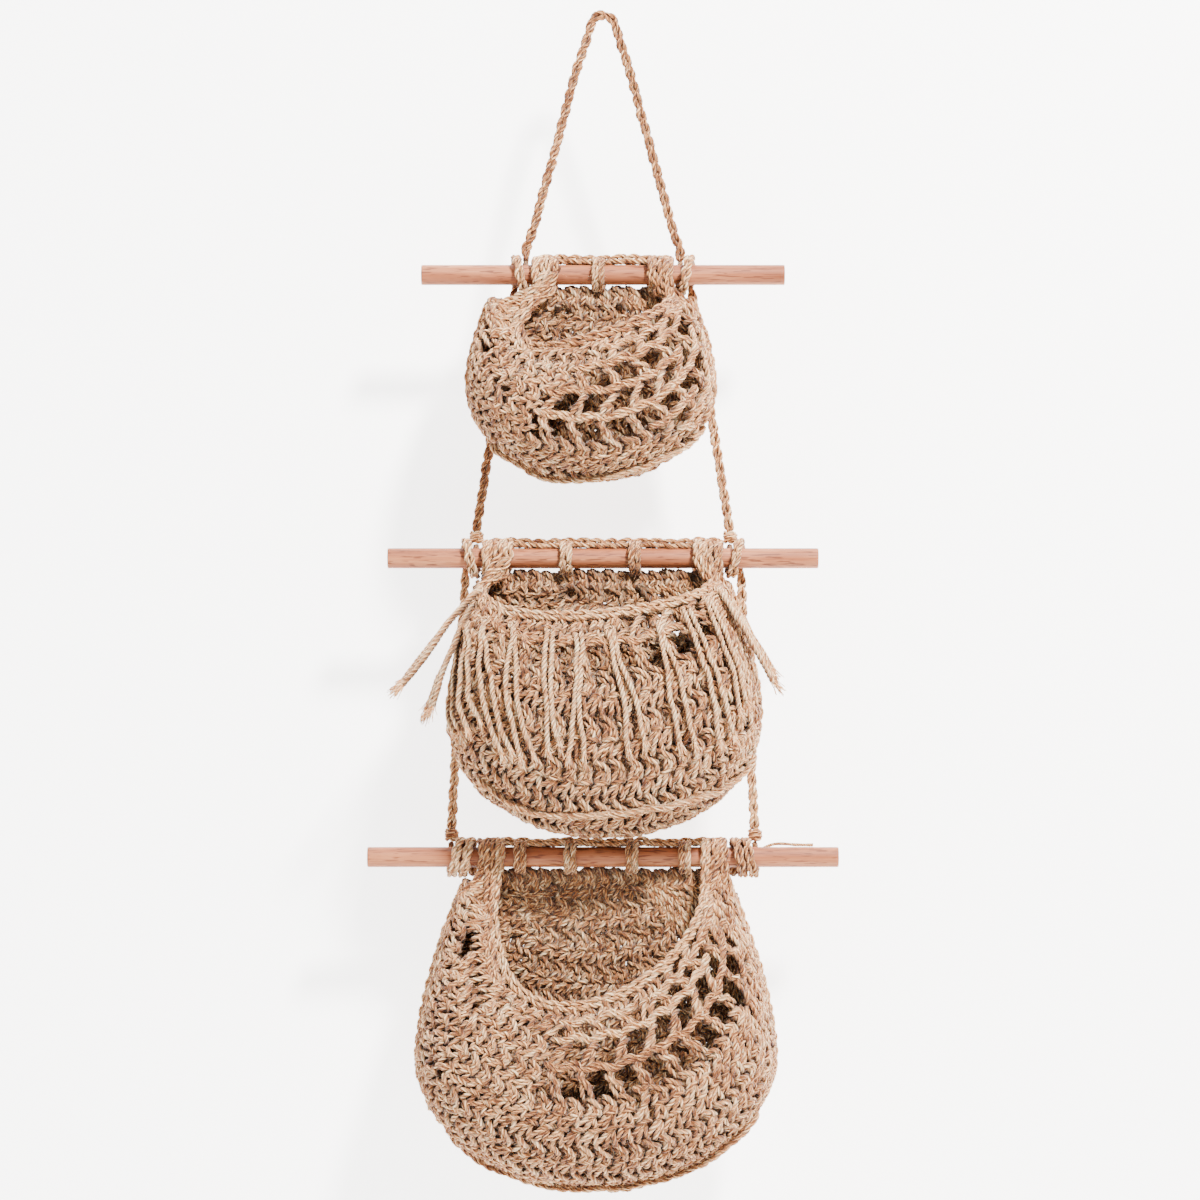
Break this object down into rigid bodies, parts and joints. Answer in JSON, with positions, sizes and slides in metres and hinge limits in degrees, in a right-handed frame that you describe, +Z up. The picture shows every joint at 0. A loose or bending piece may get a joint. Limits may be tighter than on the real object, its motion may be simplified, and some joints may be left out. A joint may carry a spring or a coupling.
{
  "type": "tiered hanging basket",
  "caption": "Tiered hanging basket of crocheted jute pockets on round wooden dowels, hung from one looped cord, for fruit or small things against a wall.",
  "frame": {"origin": "inside of the hanging loop, where it bears on a hook", "axes": "+Z up, the open fronts towards -Y, the dowels along X, the backs of the baskets towards +Y"},
  "size_m": [0.35, 0.1139, 0.8702],
  "materials": {
    "jute": "rough twisted natural jute yarn",
    "beech": "smooth bare wood with short dark flecks"
  },
  "bodies": {
    "hanging_cord": {"hanging_cord": "jute"},
    "top_wraps": {"top_wrap_left": "jute", "top_wrap_right": "jute"},
    "top_dowel": {"top_dowel": "beech"},
    "top_basket": {"top_dowel_loops": "jute", "top_back_panel": "jute", "top_pocket": "jute"},
    "upper_cord_left": {"upper_cord_left": "jute"},
    "upper_cord_right": {"upper_cord_right": "jute"},
    "middle_knots": {"middle_knot_left": "jute", "middle_knot_right": "jute"},
    "middle_wraps": {"middle_wrap_left": "jute", "middle_wrap_right": "jute"},
    "middle_dowel": {"middle_dowel": "beech"},
    "middle_basket": {"middle_dowel_loops": "jute", "middle_back_panel": "jute", "middle_pocket": "jute", "fringe_tassel_1": "jute", "fringe_tassel_2": "jute", "fringe_tassel_3": "jute", "fringe_tassel_4": "jute", "fringe_tassel_5": "jute", "fringe_tassel_6": "jute", "fringe_tassel_7": "jute", "fringe_tassel_8": "jute", "fringe_tassel_9": "jute", "fringe_tassel_10": "jute", "fringe_tassel_11": "jute", "fringe_tassel_12": "jute", "fringe_tassel_13": "jute"},
    "lower_cord_left": {"lower_cord_left": "jute"},
    "lower_cord_right": {"lower_cord_right": "jute"},
    "bottom_knots": {"bottom_knot_left": "jute", "bottom_knot_right": "jute"},
    "bottom_wraps": {"bottom_wrap_left": "jute", "bottom_wrap_right": "jute", "yarn_tail": "jute"},
    "bottom_dowel": {"bottom_dowel": "beech"},
    "bottom_basket": {"bottom_dowel_loops": "jute", "bottom_back_panel": "jute", "bottom_pocket": "jute"}
  },
  "joints": [
    {"name": "hanging_fold", "type": "hinge", "parent": "hanging_cord", "child": "top_wraps", "pos_m": [0, 0.01145, -0.1823], "axis": [1, 0, 0], "range_deg": [-20, 0]},
    {"name": "top_dowel_turn", "type": "hinge", "parent": "top_wraps", "child": "top_dowel", "pos_m": [0, 0, -0.1895], "axis": [1, 0, 0], "continuous": true},
    {"name": "top_basket_swing", "type": "hinge", "parent": "top_wraps", "child": "top_basket", "pos_m": [0, 0, -0.1895], "axis": [1, 0, 0], "range_deg": [-20, 0]},
    {"name": "upper_sway_left", "type": "hinge", "parent": "top_wraps", "child": "upper_cord_left", "pos_m": [-0.0654, 0.01145, -0.2007], "axis": [0, 1, 0], "range_deg": [-8, 8]},
    {"name": "upper_sway_right", "type": "hinge", "parent": "top_wraps", "child": "upper_cord_right", "pos_m": [0.0654, 0.01145, -0.2007], "axis": [0, 1, 0], "range_deg": [-8, 8]},
    {"name": "upper_level", "type": "hinge", "parent": "upper_cord_left", "child": "middle_knots", "pos_m": [-0.0945, 0.01145, -0.3768], "axis": [0, 1, 0], "range_deg": [-8, 8]},
    {"name": "upper_fold", "type": "hinge", "parent": "middle_knots", "child": "middle_wraps", "pos_m": [0, 0.01145, -0.3928], "axis": [1, 0, 0], "range_deg": [-20, 0]},
    {"name": "middle_dowel_turn", "type": "hinge", "parent": "middle_wraps", "child": "middle_dowel", "pos_m": [0, 0, -0.4], "axis": [1, 0, 0], "continuous": true},
    {"name": "middle_basket_swing", "type": "hinge", "parent": "middle_wraps", "child": "middle_basket", "pos_m": [0, 0, -0.4], "axis": [1, 0, 0], "range_deg": [-20, 0]},
    {"name": "lower_sway_left", "type": "hinge", "parent": "middle_wraps", "child": "lower_cord_left", "pos_m": [-0.1024, 0.01145, -0.4112], "axis": [0, 1, 0], "range_deg": [-8, 8]},
    {"name": "lower_sway_right", "type": "hinge", "parent": "middle_wraps", "child": "lower_cord_right", "pos_m": [0.1024, 0.01145, -0.4112], "axis": [0, 1, 0], "range_deg": [-8, 8]},
    {"name": "lower_level", "type": "hinge", "parent": "lower_cord_left", "child": "bottom_knots", "pos_m": [-0.113, 0.01145, -0.5988], "axis": [0, 1, 0], "range_deg": [-8, 8]},
    {"name": "lower_fold", "type": "hinge", "parent": "bottom_knots", "child": "bottom_wraps", "pos_m": [0, 0.01145, -0.6148], "axis": [1, 0, 0], "range_deg": [-10, 0]},
    {"name": "bottom_dowel_turn", "type": "hinge", "parent": "bottom_wraps", "child": "bottom_dowel", "pos_m": [0, 0, -0.622], "axis": [1, 0, 0], "continuous": true},
    {"name": "bottom_basket_swing", "type": "hinge", "parent": "bottom_wraps", "child": "bottom_basket", "pos_m": [0, 0, -0.622], "axis": [1, 0, 0], "range_deg": [-20, 0]}
  ],
  "couplings": [
    {"joint": "upper_sway_right", "follows": "upper_sway_left", "ratio": 1},
    {"joint": "upper_level", "follows": "upper_sway_left", "ratio": -0.6921},
    {"joint": "lower_sway_right", "follows": "lower_sway_left", "ratio": 1},
    {"joint": "lower_level", "follows": "lower_sway_left", "ratio": -0.9062}
  ]
}
